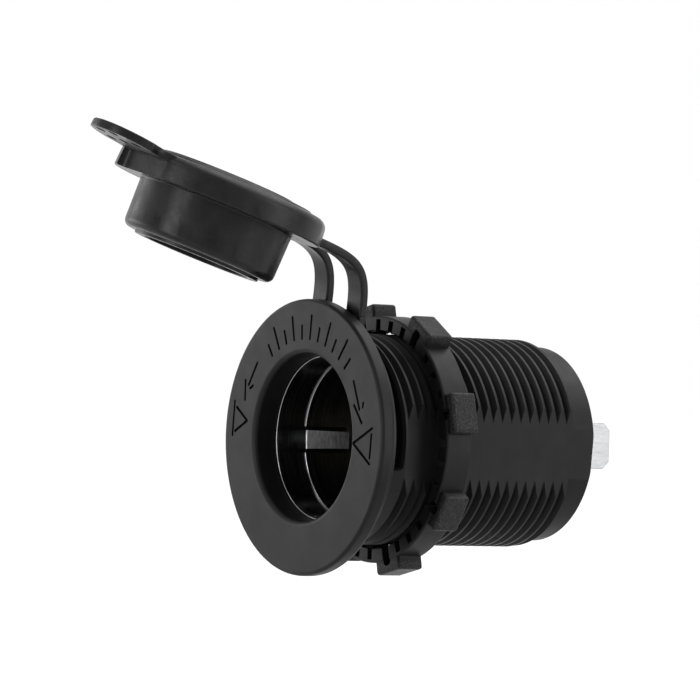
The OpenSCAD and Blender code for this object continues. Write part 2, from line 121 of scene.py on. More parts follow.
class SocketSizes(bpy.types.PropertyGroup):
    """Sizes of the details"""

    groove_depth: bpy.props.FloatProperty(
        name="Thread Depth", description="Depth of the thread groove below the crest",
        default=0.75 * MM, subtype="DISTANCE", unit="LENGTH")
    mark_depth: bpy.props.FloatProperty(
        name="Mark Depth", description="Depth of the marks sunk into the flange",
        default=0.45 * MM, subtype="DISTANCE", unit="LENGTH")
    mark_width: bpy.props.FloatProperty(
        name="Mark Width", description="Width of the strokes sunk into the flange",
        default=0.42 * MM, subtype="DISTANCE", unit="LENGTH")
    arm_width: bpy.props.FloatProperty(
        name="Strap Arm Width", description="Width of each rubber arm",
        default=3.4 * MM, subtype="DISTANCE", unit="LENGTH")
    arm_thickness: bpy.props.FloatProperty(
        name="Strap Arm Thickness", description="Thickness of each rubber arm",
        default=1.15 * MM, subtype="DISTANCE", unit="LENGTH")
    tongue_rise: bpy.props.FloatProperty(
        name="Tongue Rise", description="How far the shell's side tongues stand into its bore",
        default=1.3 * MM, subtype="DISTANCE", unit="LENGTH")


class SocketColours(bpy.types.PropertyGroup):
    """Colours of the finishes"""

    plastic: bpy.props.FloatVectorProperty(
        name="Plastic", description="Colour of the moulded body and lock nut",
        default=(0.0055, 0.0055, 0.0056), subtype="COLOR", min=0, max=1)
    rubber: bpy.props.FloatVectorProperty(
        name="Rubber", description="Colour of the cap and its strap",
        default=(0.0055, 0.0055, 0.0056), subtype="COLOR", min=0, max=1)
    shell: bpy.props.FloatVectorProperty(
        name="Contact Shell", description="Colour of the plated shell inside the mouth",
        default=(0.27, 0.27, 0.275), subtype="COLOR", min=0, max=1)
    tin: bpy.props.FloatVectorProperty(
        name="Tinned Metal", description="Colour of the blades, rivet and washer",
        default=(0.28, 0.285, 0.29), subtype="COLOR", min=0, max=1)
    brass: bpy.props.FloatVectorProperty(
        name="Brass", description="Colour of the centre contact, screw and nut",
        default=(0.40, 0.33, 0.20), subtype="COLOR", min=0, max=1)
    board: bpy.props.FloatVectorProperty(
        name="Insulator", description="Colour of the insulating washer",
        default=(0.16, 0.10, 0.055), subtype="COLOR", min=0, max=1)


# Finishes


class Finish:
    """A material's node tree, with short calls for the nodes that the finishes share"""

    def __init__(self, name):
        self.material = bpy.data.materials.new(name)
        self.material.use_nodes = True
        self.tree = self.material.node_tree
        self.tree.nodes.clear()
        self.output = self.tree.nodes.new("ShaderNodeOutputMaterial")
        self.shader = self.tree.nodes.new("ShaderNodeBsdfPrincipled")
        self.join(self.shader.outputs[0], self.output.inputs["Surface"])
        self.coords = self.tree.nodes.new("ShaderNodeTexCoord").outputs["Object"]

    def join(self, start, end):
        self.tree.links.new(start, end)

    def noise(self, scale, detail=2.0, rough=0.5, vector=None, distortion=0.0):
        node = self.tree.nodes.new("ShaderNodeTexNoise")
        node.inputs["Scale"].default_value = scale
        node.inputs["Detail"].default_value = detail
        node.inputs["Roughness"].default_value = rough
        node.inputs["Distortion"].default_value = distortion
        self.join(vector or self.coords, node.inputs["Vector"])
        return node.outputs["Fac"]

    def scaled(self, factors):
        """The object's coordinates, stretched by a factor each way"""
        node = self.tree.nodes.new("ShaderNodeMapping")
        node.inputs["Scale"].default_value = factors
        self.join(self.coords, node.inputs["Vector"])
        return node.outputs[0]

    def math(self, kind, a, b=0.0):
        node = self.tree.nodes.new("ShaderNodeMath")
        node.operation = kind
        for socket, value in zip(node.inputs, (a, b)):
            if isinstance(value, (int, float)):
                socket.default_value = value
            else:
                self.join(value, socket)
        return node.outputs[0]

    def spread(self, value, low, high, to_low, to_high):
        """Carries one range of values over to another"""
        node = self.tree.nodes.new("ShaderNodeMapRange")
        for name, number in (("From Min", low), ("From Max", high), ("To Min", to_low), ("To Max", to_high)):
            node.inputs[name].default_value = number
        self.join(value, node.inputs["Value"])
        return node.outputs[0]

    def radius(self):
        """Distance from the socket's axis"""
        node = self.tree.nodes.new("ShaderNodeSeparateXYZ")
        self.join(self.coords, node.inputs[0])
        x, _, z = node.outputs
        return self.math("SQRT", self.math("ADD", self.math("MULTIPLY", x, x), self.math("MULTIPLY", z, z)))

    def blend(self, amount, first, second):
        """One colour turning into a second by an amount"""
        node = self.tree.nodes.new("ShaderNodeMix")
        node.data_type = "RGBA"
        for socket, colour in ((node.inputs[6], first), (node.inputs[7], second)):
            socket.default_value = (*colour, 1.0)
        self.join(amount, node.inputs[0])
        return node.outputs[2]

    def bump(self, height, distance, strength=1.0, normal=None):
        node = self.tree.nodes.new("ShaderNodeBump")
        node.inputs["Distance"].default_value = distance
        node.inputs["Strength"].default_value = strength
        self.join(height, node.inputs["Height"])
        if normal is not None:
            self.join(normal, node.inputs["Normal"])
        return node.outputs[0]

    def set(self, **values):
        for name, value in values.items():
            socket = self.shader.inputs[name.replace("_", " ")]
            if isinstance(value, tuple):
                socket.default_value = (*value, 1.0)
            elif isinstance(value, (int, float)):
                socket.default_value = value
            else:
                self.join(value, socket)
        return self.material


def shade(colour, share):
    """A colour made darker or lighter"""
    return tuple(c * share for c in colour)


def moulded_plastic(name, colour):
    """Satin black plastic: a fine moulded grain, faint flow clouds and slightly uneven gloss"""
    f = Finish(name)
    clouds = f.noise(160, 3, 0.55)
    tint = f.blend(f.spread(clouds, 0.3, 0.7, 0, 1), shade(colour, 0.8), shade(colour, 1.25))
    gloss = f.spread(f.noise(420, 4, 0.6), 0.3, 0.7, 0.40, 0.49)
    grain = f.noise(7500, 3, 0.6)
    return f.set(
        Base_Color=tint, Roughness=gloss, Specular_IOR_Level=0.1, Normal=f.bump(grain, 0.016 * MM, 0.6))


def grained_plastic(name, colour):
    """The lock nut's plastic: a smooth ring, with a coarse grain on the lugs whose pale specks are painted glints"""
    f = Finish(name)
    on_lug = f.spread(f.radius(), 16.95 * MM, 17.4 * MM, 0, 1)
    pits = f.noise(4200, 2, 0.6)
    fine = f.noise(9000, 2, 0.5)
    # the lugs' pale specks are painted glints, standing in for light catching the grain on the lug tops; the grain's
    # relief itself is real
    painted_glint_speck = f.math("MULTIPLY", on_lug, f.spread(pits, 0.44, 0.66, 0, 1))
    tint = f.blend(painted_glint_speck, colour, shade(colour, 4.5))
    grain = f.math("ADD", f.math("MULTIPLY", pits, on_lug), f.math("MULTIPLY", fine, 0.22))
    gloss = f.spread(f.noise(500, 3, 0.6), 0.3, 0.7, 0.40, 0.50)
    return f.set(
        Base_Color=tint, Roughness=gloss, Specular_IOR_Level=0.1, Normal=f.bump(grain, 0.11 * MM, 0.85))


def soft_rubber(name, colour):
    """Moulded rubber: low sheen, blotchy handling marks and a very fine surface"""
    f = Finish(name)
    blotch = f.noise(230, 4, 0.62, distortion=0.7)
    streak = f.noise(1.0, 3, 0.55, f.scaled((800, 800, 240)))
    both = f.math("ADD", f.math("MULTIPLY", blotch, 0.7), f.math("MULTIPLY", streak, 0.3))
    tint = f.blend(f.spread(both, 0.35, 0.65, 0, 1), shade(colour, 0.7), shade(colour, 1.7))
    gloss = f.spread(both, 0.36, 0.64, 0.24, 0.44)
    fine = f.noise(6500, 2, 0.5)
    soft = f.noise(420, 3, 0.55)
    return f.set(
        Base_Color=tint, Roughness=gloss, Specular_IOR_Level=0.13,
        Normal=f.bump(fine, 0.012 * MM, 0.5, f.bump(soft, 0.10 * MM, 0.5)))


def plated_shell(name, colour):
    """Drawn and plated sheet, with faint lines round the bore"""
    f = Finish(name)
    lines = f.noise(1.0, 3, 0.6, f.scaled((60, 4200, 60)))
    cloud = f.noise(300, 3, 0.5)
    tint = f.blend(f.spread(cloud, 0.3, 0.7, 0, 1), shade(colour, 0.8), colour)
    gloss = f.spread(lines, 0.3, 0.7, 0.14, 0.26)
    return f.set(Base_Color=tint, Metallic=1.0, Roughness=gloss, Normal=f.bump(lines, 0.006 * MM, 0.3))


def sprung_tongue(name, colour):
    """The shell's tongues: the same plating, dulled by rubbing, with lighter streaks that are partly rub wear and
    partly a painted reflection
    """
    f = Finish(name)
    rub_and_painted_sheen = f.noise(1.0, 3, 0.6, f.scaled((900, 3000, 900)))
    # the tongue tint runs up to more than twice the plating's colour: partly rub wear, partly a painted reflection of
    # the bright strip the tongues show
    tint = f.blend(f.spread(rub_and_painted_sheen, 0.3, 0.7, 0, 1), colour, shade(colour, 2.2))
    return f.set(Base_Color=tint, Metallic=1.0, Roughness=0.52, Normal=f.bump(rub_and_painted_sheen, 0.02 * MM, 0.5))


def tinned_metal(name, colour):
    """Tinned blade stock: pale, with rolling lines and light scuffs"""
    f = Finish(name)
    rolling = f.noise(1.0, 2, 0.5, f.scaled((500, 500, 6500)))
    scuffs = f.noise(900, 4, 0.65, distortion=1.0)
    both = f.math("ADD", f.math("MULTIPLY", rolling, 0.5), f.math("MULTIPLY", scuffs, 0.5))
    tint = f.blend(f.spread(scuffs, 0.35, 0.7, 0, 1), shade(colour, 0.82), colour)
    gloss = f.spread(both, 0.3, 0.7, 0.34, 0.56)
    return f.set(Base_Color=tint, Metallic=1.0, Roughness=gloss, Normal=f.bump(rolling, 0.008 * MM, 0.5))


def turned_brass(name, colour):
    """Turned brass with a slight tarnish"""
    f = Finish(name)
    tarnish = f.noise(700, 4, 0.6, distortion=0.5)
    turning = f.noise(1.0, 2, 0.5, f.scaled((400, 7000, 400)))
    tint = f.blend(f.spread(tarnish, 0.35, 0.72, 0, 1), colour, shade(colour, 0.5))
    gloss = f.spread(tarnish, 0.3, 0.7, 0.24, 0.46)
    return f.set(Base_Color=tint, Metallic=1.0, Roughness=gloss, Normal=f.bump(turning, 0.006 * MM, 0.5))


def pressed_board(name, colour):
    """Pressed insulating board with a fibrous fleck"""
    f = Finish(name)
    fleck = f.noise(1.0, 3, 0.65, f.scaled((2600, 900, 2600)))
    tint = f.blend(f.spread(fleck, 0.35, 0.68, 0, 1), shade(colour, 0.7), shade(colour, 1.3))
    return f.set(Base_Color=tint, Roughness=0.6, Normal=f.bump(fleck, 0.02 * MM, 0.5))


FINISHES = {
    "body plastic": (moulded_plastic, "plastic"), "nut plastic": (grained_plastic, "plastic"),
    "black rubber": (soft_rubber, "rubber"), "plated shell": (plated_shell, "shell"),
    "sprung tongue": (sprung_tongue, "shell"),
    "tinned metal": (tinned_metal, "tin"), "turned brass": (turned_brass, "brass"),
    "pressed board": (pressed_board, "board"),
}


def look_of(name):
    """One of the named finishes, made when it is first asked for"""
    make, colour = FINISHES[name]
    return bpy.data.materials.get(name) or make(name, tuple(getattr(bpy.context.scene.socket_colours, colour)))


def finish(piece, name):
    """Gives a piece one of the named finishes"""
    piece.data.materials.clear()
    piece.data.materials.append(look_of(name))
    for face in piece.data.polygons:
        face.material_index = 0


# Shaping


def about_axis(degrees):
    return Matrix.Rotation(math.radians(degrees), 3, "Y")


def turn(bm, degrees):
    bmesh.ops.rotate(bm, cent=(0, 0, 0), matrix=about_axis(degrees), verts=bm.verts)
    return bm


def wire(bm, corners):
    """Closes a wire through (point, rounding) corners and rounds those that ask for it"""
    made = [bm.verts.new(point) for point, _ in corners]
    for i, v in enumerate(made):
        bm.edges.new((v, made[(i + 1) % len(made)]))
    for v, (_, rounding) in zip(made, corners):
        if rounding:
            bmesh.ops.bevel(bm, geom=[v], offset=rounding, segments=5, profile=0.5, affect="VERTICES", material=-1)


def turned(outline, steps=STEPS, axis="Y"):
    """Spins an outline of (radius, place along the axis, rounding of the corner) into a closed solid"""
    bm = bmesh.new()
    corners = []
    for radius, place, *rounding in outline:
        point = (radius, place, 0) if axis == "Y" else (radius, 0, place)
        corners.append((point, rounding[0] if rounding else 0))
    wire(bm, corners)
    way = (0, 1, 0) if axis == "Y" else (0, 0, 1)
    bmesh.ops.spin(bm, geom=bm.verts[:] + bm.edges[:], cent=(0, 0, 0), axis=way, dvec=(0, 0, 0),
                   angle=2 * math.pi, steps=steps, use_merge=True)
    bmesh.ops.remove_doubles(bm, verts=bm.verts, dist=1e-5)
    return bm


def swept(section, start, angle, steps, rise=0.0):
    """Spins a (radius, place) section part of the way round the socket's axis and closes both ends"""
    bm = bmesh.new()
    wire(bm, [((radius, place, 0), 0) for radius, place in section])
    bmesh.ops.spin(bm, geom=bm.verts[:] + bm.edges[:], cent=(0, 0, 0), axis=(0, 1, 0),
                   dvec=(0, rise / steps, 0), angle=math.radians(angle), steps=steps)
    bmesh.ops.holes_fill(bm, edges=[e for e in bm.edges if e.is_boundary])
    return turn(bm, start)


def block(low, high, rounding=0.0, degrees=0.0):
    """A box between two corners with rounded edges, turned about the socket's axis"""
    bm = bmesh.new()
    low, high = Vector(low), Vector(high)
    bmesh.ops.create_cube(bm, size=1)
    bmesh.ops.scale(bm, vec=high - low, verts=bm.verts)
    bmesh.ops.translate(bm, vec=(low + high) / 2, verts=bm.verts)
    if rounding:
        bmesh.ops.bevel(bm, geom=bm.edges[:], offset=rounding, segments=3, profile=0.5, affect="EDGES", material=-1)
    return turn(bm, degrees)


def slab(outline, way):
    """Extrudes a closed outline of (point, rounding) corners along a vector"""
    bm = bmesh.new()
    wire(bm, [(Vector(point), rounding) for point, rounding in outline])
    bmesh.ops.holes_fill(bm, edges=bm.edges[:])
    grown = bmesh.ops.extrude_face_region(bm, geom=bm.faces[:])["geom"]
    bmesh.ops.translate(bm, vec=way, verts=[g for g in grown if isinstance(g, bmesh.types.BMVert)])
    return bm


def piece_from(bm, name):
    bmesh.ops.recalc_face_normals(bm, faces=bm.faces)
    mesh = bpy.data.meshes.new(name)
    bm.to_mesh(mesh)
    bm.free()
    piece = bpy.data.objects.new(name, mesh)
    bpy.context.scene.collection.objects.link(piece)
    return piece


def combine(piece, tools, operation="DIFFERENCE"):
    """Cuts solids out of a piece, or adds them to it, in one exact step"""
    holder = bpy.data.collections.new("tools")
    for tool in tools:
        made = piece_from(tool, "tool")
        bpy.context.scene.collection.objects.unlink(made)
        holder.objects.link(made)
    bpy.context.scene.collection.children.link(holder)
    step = piece.modifiers.new("combine", "BOOLEAN")
    step.operation = operation
    step.operand_type = "COLLECTION"
    step.collection = holder
    step.solver = "EXACT"
    shaped = bpy.data.meshes.new_from_object(piece.evaluated_get(bpy.context.evaluated_depsgraph_get()))
    piece.modifiers.remove(step)
    old = piece.data
    piece.data = shaped
    bpy.data.meshes.remove(old)
    for made in holder.objects[:]:
        waste = made.data
        bpy.data.objects.remove(made)
        bpy.data.meshes.remove(waste)
    bpy.data.collections.remove(holder)
    if not shaped.polygons:
        raise RuntimeError(piece.name + " came out empty")
    return piece


def settle(piece, look, angle=30):
    """Brings a finished piece to metres, smooths it between its edges, and gives it its finish"""
    piece.data.name = piece.name
    piece.data.transform(Matrix.Scale(MM, 4))
    for face in piece.data.polygons:
        face.use_smooth = True
    piece.data.set_sharp_from_angle(angle=math.radians(angle))
    even = piece.modifiers.new("even shading", "WEIGHTED_NORMAL")
    even.keep_sharp = True
    finish(piece, look)
    return piece


# Moulded body

# Strokes sunk into the flange: the start and end of each, across and up
STROKES = [
    # triangle on the left
    ((-16.5, 3.1), (-16.45, -1.5)), ((-15.9, 2.35), (-13.2, 0.78)), ((-13.2, 0.78), (-15.9, -0.9)),
    # triangle on the right
    ((15.9, 2.95), (11.9, 0.55)), ((11.9, 0.55), (15.9, -1.75)), ((15.83, 2.15), (15.86, -0.95)),
    # arrow on the left
    ((-11.88, 8.77), (-13.5, 5.65)), ((-14.36, 6.2), (-14.12, 3.55)), ((-12.5, 5.61), (-13.1, 5.2)),
    # arrow on the right
    ((10.84, 8.62), (12.67, 5.13)), ((11.4, 5.5), (13.43, 3.4)), ((13.45, 6.06), (13.38, 5.5)),
]
# Index lines at the top of the flange: angle from the top, and the radii they run between
INDEX_LINES = [(a, 13.2, 16.3 if a % 16 == 0 else 14.9) for a in range(-40, 41, 8)]


def stroke(start, end, width, depth):
    """A round-ended groove cutter standing in the flange's face"""
    sides, above = 12, 0.3
    start, end = (Vector((p[0], 0, p[1])) for p in (start, end))
    run = end - start
    bm = bmesh.new()
    bmesh.ops.create_circle(bm, cap_ends=True, segments=sides, radius=width / 2)
    bmesh.ops.rotate(bm, cent=(0, 0, 0), matrix=Matrix.Rotation(math.radians(90), 3, "X"), verts=bm.verts)
    # Half a side more than the run's own angle, so that no corner lies on the line between the two ends
    lean = math.degrees(math.atan2(run.x, run.z)) + 180 / sides
    bmesh.ops.rotate(bm, cent=(0, 0, 0), matrix=about_axis(lean), verts=bm.verts)
    ahead = [v for v in bm.verts if v.co.dot(run) > 0]
    bmesh.ops.translate(bm, vec=run, verts=ahead)
    bmesh.ops.translate(bm, vec=start + Vector((0, FACE - above, 0)), verts=bm.verts)
    grown = bmesh.ops.extrude_face_region(bm, geom=bm.faces[:])["geom"]
    moved = [g for g in grown if isinstance(g, bmesh.types.BMVert)]
    bmesh.ops.translate(bm, vec=(0, depth + above, 0), verts=moved)
    return bm


def helix(section, pitch, start, turns, fade, lift):
    """A section wound about the socket's axis, rising outwards at both ends over a share of a turn"""
    count = round(turns * STEPS)
    bm = swept(section, 0, 360 * count / STEPS, count, pitch * count / STEPS)
    middle = (max(p for _, p in section) + min(p for _, p in section)) / 2
    for v in bm.verts:
        angle = math.atan2(-v.co.z, v.co.x) / (2 * math.pi) % 1
        travel = angle + round((v.co.y - middle) / pitch - angle)
        near_end = min(travel, count / STEPS - travel) / fade
        r = math.hypot(v.co.x, v.co.z)
        if near_end < 1:
            grown = 1 + lift * (1 - max(near_end, 0)) / r
            v.co.x *= grown
            v.co.z *= grown
    return turn(bm, start)


def groove_place(degrees):
    """Where the thread groove's middle lies, at an angle from +X towards -Z"""
    return 2.70 + PITCH * degrees / 360


def thread_cutter(depth):
    """The V groove, from the hidden side just behind the shoulder to the hidden side near the rear"""
    first_step, last_turn, fade = 71, 18.9, 0.3
    start = first_step * 360 / STEPS
    y = groove_place(start)
    root, flat, mouth, out = CREST_R - depth, 0.1, 0.6, CREST_R + 0.5
    section = [(root, y - flat), (root, y + flat), (CREST_R, y + mouth), (out, y + mouth),
               (out, y - mouth), (CREST_R, y - mouth)]
    return helix(section, PITCH, start, last_turn - start / 360, fade, depth * 1.1)


def locating_notch(degrees):
    """Cutter for the notch in the shoulder, with rounded rear corners and a sloped rear wall"""
    span, floor, outer, front, back = 79, 12.4, 16.0, -0.02, 3.3
    slope = [(14.25, back), (13.75, back - 0.35), (floor, back - 0.4)]
    bm = swept([(floor, front), (outer, front), (outer, back), *slope], 0, span, 40)
    ends = [e for e in bm.edges if all(v.co.y > 2 for v in e.verts)
            and abs(math.hypot(*e.verts[0].co.xz) - math.hypot(*e.verts[1].co.xz)) > 0.1
            and all(abs(math.degrees(math.atan2(v.co.z, v.co.x)) % 360 - 360 + span) < 0.01 or abs(v.co.z) < 1e-4
                    for v in e.verts)]
    bmesh.ops.bevel(bm, geom=ends, offset=0.6, segments=4, profile=0.5, affect="EDGES", material=-1)
    return turn(bm, degrees)


class SOCKET_OT_body(bpy.types.Operator):
    """Moulded body: flange with its sunk marks, wound thread, flats, notches, collar and floor"""

    bl_idname = "socket.body"
    bl_label = "Moulded Body"

    def execute(self, context):
        sizes = context.scene.socket_sizes
        width, depth = sizes.mark_width / MM, sizes.mark_depth / MM
        screw_hole, ledge, notch_start = 2.1, STEP + 0.3, -67.9
        body = piece_from(turned([
            (MOUTH_R, FACE, 0.7), (FLANGE_R, FACE, 0.5), (FLANGE_R, RING_FRONT, 0.8), (NECK_R, RING_FRONT),
            (NECK_R, 0), (CREST_R, 0, 0.15), (CREST_R, THREAD_END), (COLLAR_R, COLLAR_FRONT),
            (COLLAR_R, RIM, 0.25), (BORE_R, RIM, 0.2), (BORE_R, FLOOR_BACK), (screw_hole, FLOOR_BACK),
            (screw_hole, FLOOR_FRONT), (BORE_R, FLOOR_FRONT), (BORE_R, ledge), (MOUTH_R, ledge)]), "socket_body")
        marks = [stroke(a, b, width, depth) for a, b in STROKES]
        for angle, low, high in INDEX_LINES:
            s, c = math.sin(math.radians(angle)), math.cos(math.radians(angle))
            marks.append(stroke((low * s, low * c), (high * s, high * c), width, depth))
        cuts = [block((-9.4, 32.2, -3.35), (-5.0, 35.0, 3.35), 0, TERMINAL_TURN)]
        for side in (0, 180):
            cuts.append(block((FLAT, SHOULDER + 0.05, -20), (22, 40, 20), 0, side))
            cuts.append(locating_notch(side + notch_start))
        combine(body, marks + cuts)
        combine(body, [thread_cutter(sizes.groove_depth / MM)])
        settle(body, "body plastic")
        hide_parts("housing")
        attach(body, "socket")
        return {"FINISHED"}


# Lock nut


class SOCKET_OT_lock_nut(bpy.types.Operator):
    """Lock nut: ring with eight lugs, slots and pockets in its front face, and a wound ridge inside"""

    bl_idname = "socket.lock_nut"
    bl_label = "Lock Nut"

    def execute(self, context):
        front, back, outer, bore = 8.15, 12.3, 16.65, 14.7
        first_lug, step, lug_half, lug_top = 27, 45, 2.7, 18.2
        # The ridge clears the crests, because the nut turns without moving along the thread
        clear = CREST_R + 0.05
        # Where the cutters start, and how deep they go
        ahead, inside, depth = front - 1, 13, 2.6
        pocket_half, pocket_top = 0.75, 17.25
        slot_half, slot_top, slot_step, slot_shift = 0.5, 16.2, 10.5, 1.5
        nut = piece_from(turned([
            (bore, front, 0.1), (outer, front, 0.3), (outer, back, 0.3), (bore, back, 0.15)]), "plastic_lock_nut")
        start = 300
        y = groove_place(start) + PITCH * 3
        ridge = [(clear, y - 0.1), (clear, y + 0.1), (bore, y + 0.42), (bore + 0.3, y + 0.42),
                 (bore + 0.3, y - 0.42), (bore, y - 0.42)]
        parts = [helix(ridge, PITCH, start, 1.75, 0.15, 0.75)]
        lugs = [first_lug + step * i for i in range(8)]
        for middle in lugs:
            parts.append(block((-lug_half, front + 0.1, 15.8), (lug_half, back - 0.1, lug_top), 0.42, middle))
        combine(nut, parts, "UNION")
        hollows = []
        for middle in lugs:
            pocket = slab([((-pocket_half, ahead, inside), 0), ((pocket_half, ahead, inside), 0),
                           ((pocket_half, ahead, pocket_top), 0.55), ((-pocket_half, ahead, pocket_top), 0.55)],
                          (0, depth + 1, 0))
            hollows.append(turn(pocket, middle))
            for j in (-1, 0, 1):
                place = middle + step / 2 + slot_shift + slot_step * j
                hollows.append(block((-slot_half, ahead, inside), (slot_half, front + depth, slot_top), 0, place))
        combine(nut, hollows)
        settle(nut, "nut plastic")
        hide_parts("lock_nut")
        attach(nut, "nut")
        return {"FINISHED"}


# Strap and cap


def in_strap_plane(bm):
    """Turns a shape drawn in the strap's own plane to where the strap stands"""
    return turn(bm, STRAP_TURN)


CAP_OUT = Vector((0, math.cos(math.radians(OPEN_TILT)), -math.sin(math.radians(OPEN_TILT))))
CAP_UP = Vector((0, math.sin(math.radians(OPEN_TILT)), math.cos(math.radians(OPEN_TILT))))
ARM_FOOT = Vector((0, -0.7, 17.7))
ARM_HEAD = CAP_PLACE + CAP_OUT * 14.1 + CAP_UP * 0.925


def join_parts(parts):
    """Several bmeshes as one"""
    whole = bmesh.new()
    for part in parts:
        mesh = bpy.data.meshes.new("part")
        bmesh.ops.recalc_face_normals(part, faces=part.faces)
        part.to_mesh(mesh)
        part.free()
        whole.from_mesh(mesh)
        bpy.data.meshes.remove(mesh)
    return whole


class SOCKET_OT_strap(bpy.types.Operator):
    """Rubber ring behind the flange with its ear, and the two curved arms that run up to the cap"""

    bl_idname = "socket.strap"
    bl_label = "Strap"

    def execute(self, context):
        sizes = context.scene.socket_sizes
        width, thickness = sizes.arm_width / MM, sizes.arm_thickness / MM
        ring = piece_from(turned([
            (NECK_R, RING_FRONT), (16.7, RING_FRONT, 0.3), (16.7, 0, 0.3), (NECK_R, 0)]), "strap_band")
        ear = block((-5.7, -1.275, 14.5), (5.7, -0.125, ARM_FOOT.z), 0.25, STRAP_TURN)
        combine(ring, [ear], "UNION")
        settle(ring, "black rubber")
        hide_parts("strap_ring")
        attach(ring, "socket")

        foot, head = ARM_FOOT, ARM_HEAD
        pull_foot = foot + Vector((0, 0, 6.3))
        pull_head = head + CAP_OUT * 6.8
        stations = 48

        def at(t):
            u = 1 - t
            return u ** 3 * foot + 3 * u * u * t * pull_foot + 3 * u * t * t * pull_head + t ** 3 * head

        def place(t):
            ahead = (at(min(1, t + 0.002)) - at(max(0, t - 0.002))).normalized()
            side = Vector((1, 0, 0))
            m = Matrix((side, ahead.cross(side), ahead)).transposed().to_4x4()
            m.translation = at(t)
            return m

        both = []
        for offset in (-4, 4):
            bm = bmesh.new()
            x, y = width / 2, thickness / 2
            wire(bm, [((a, b, 0), 0.28) for a, b in ((-x, -y), (x, -y), (x, y), (-x, y))])
            bmesh.ops.holes_fill(bm, edges=bm.edges[:])
            bmesh.ops.transform(bm, matrix=place(0), verts=bm.verts)
            front = bm.faces[:]
            for i in range(stations):
                grown = bmesh.ops.extrude_face_region(bm, geom=front)["geom"]
                moved = [g for g in grown if isinstance(g, bmesh.types.BMVert)]
                onwards = place((i + 1) / stations) @ place(i / stations).inverted()
                bmesh.ops.transform(bm, matrix=onwards, verts=moved)
                behind = front
                front = [g for g in grown if isinstance(g, bmesh.types.BMFace)]
                if i:
                    bmesh.ops.delete(bm, geom=behind, context="FACES_ONLY")
            bmesh.ops.translate(bm, vec=(offset, 0, 0), verts=bm.verts)
            both.append(in_strap_plane(bm))
        arms = piece_from(join_parts(both), "strap_pair")
        settle(arms, "black rubber", 40)
        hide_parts("strap_arms")
        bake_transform(arms)
        return {"FINISHED"}


class SOCKET_OT_cap(bpy.types.Operator):
    """Rubber cap: stepped disc, hollow plug with its lip, finger recess, pull tab and strap roots"""

    bl_idname = "socket.cap"
    bl_label = "Rubber Cap"

    def execute(self, context):
        radius, height, rise, tab_height = 14.45, 3.5, 0.35, 1.12
        hollow, lip, plug_end, lip_end = 7.3, 8.65, -6.8, -7.2
        cap = piece_from(turned([
            (0, 1.2), (hollow, 1.2, 0.5), (hollow, lip_end, 0.12), (lip, lip_end, 0.15), (lip, plug_end, 0.08),
            (10.45, plug_end, 1.0), (10.6, 0, 0.25), (radius, 0, 0.22), (14.25, height, 1.3), (12.1, height, 0.1),
            (11.75, height + rise, 0.15), (9.5, height + rise, 0.1), (9.15, height + 2 * rise, 0.15),
            (0, height + 2 * rise)], 112, "Z"), "rubber_cap")
        recess_half, recess_wall = 5.4, -12.45
        recess = slab([((-recess_half, -16, -1), 0), ((recess_half, -16, -1), 0),
                       ((recess_half, recess_wall, -1), 1.2), ((-recess_half, recess_wall, -1), 1.2)],
                      (0, 0, height - tab_height + 1))
        combine(cap, [recess])
        half = [((5.45, -21.8, 0), 5.2), ((5.45, -16.2, 0), 0.35), ((4.85, -14.7, 0), 1.1), ((6.3, -10.85, 0), 0)]
        tab = slab(half + [((-x, y, z), r) for (x, y, z), r in reversed(half)], (0, 0, tab_height))
        edges = [e for e in tab.edges if abs(e.verts[0].co.z - e.verts[1].co.z) < 1e-6]
        bmesh.ops.bevel(tab, geom=edges, offset=0.18, segments=3, profile=0.5, affect="EDGES", material=-1)
        tab = piece_from(tab, "tab")
        dimples, apart = [], 3
        for row in (0, 1):
            for i in range(2 + row):
                dimple = bmesh.new()
                bmesh.ops.create_cone(dimple, cap_ends=True, segments=24, radius1=0.75, radius2=0.7, depth=1.3)
                spot = ((i - (1 + row) / 2) * apart, -20.2 + row * apart, 0)
                bmesh.ops.translate(dimple, vec=spot, verts=dimple.verts)
                dimples.append(dimple)
        combine(tab, dimples)
        tilted = bmesh.new()
        tilted.from_mesh(tab.data)
        hinge = Vector((0, -13.35, height - tab_height))
        bmesh.ops.translate(tilted, vec=(0, -hinge.y, 0), verts=tilted.verts)
        bmesh.ops.rotate(tilted, cent=(0, 0, 0), matrix=Matrix.Rotation(math.radians(-5), 3, "X"), verts=tilted.verts)
        bmesh.ops.translate(tilted, vec=hinge, verts=tilted.verts)
        bpy.data.objects.remove(tab)
        roots = [block((x - 1.7, 12.5, 0.35), (x + 1.7, 14.65, 1.5), 0.25) for x in (-4, 4)]
        combine(cap, [tilted, *roots], "UNION")
        cap.data.transform(
            about_axis(STRAP_TURN).to_4x4() @ Matrix.Translation(CAP_PLACE)
            @ Matrix.Rotation(math.radians(-OPEN_TILT), 4, "X"))
        settle(cap, "black rubber")
        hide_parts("cap")
        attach(cap, "cap")
        return {"FINISHED"}


# Contacts and terminals


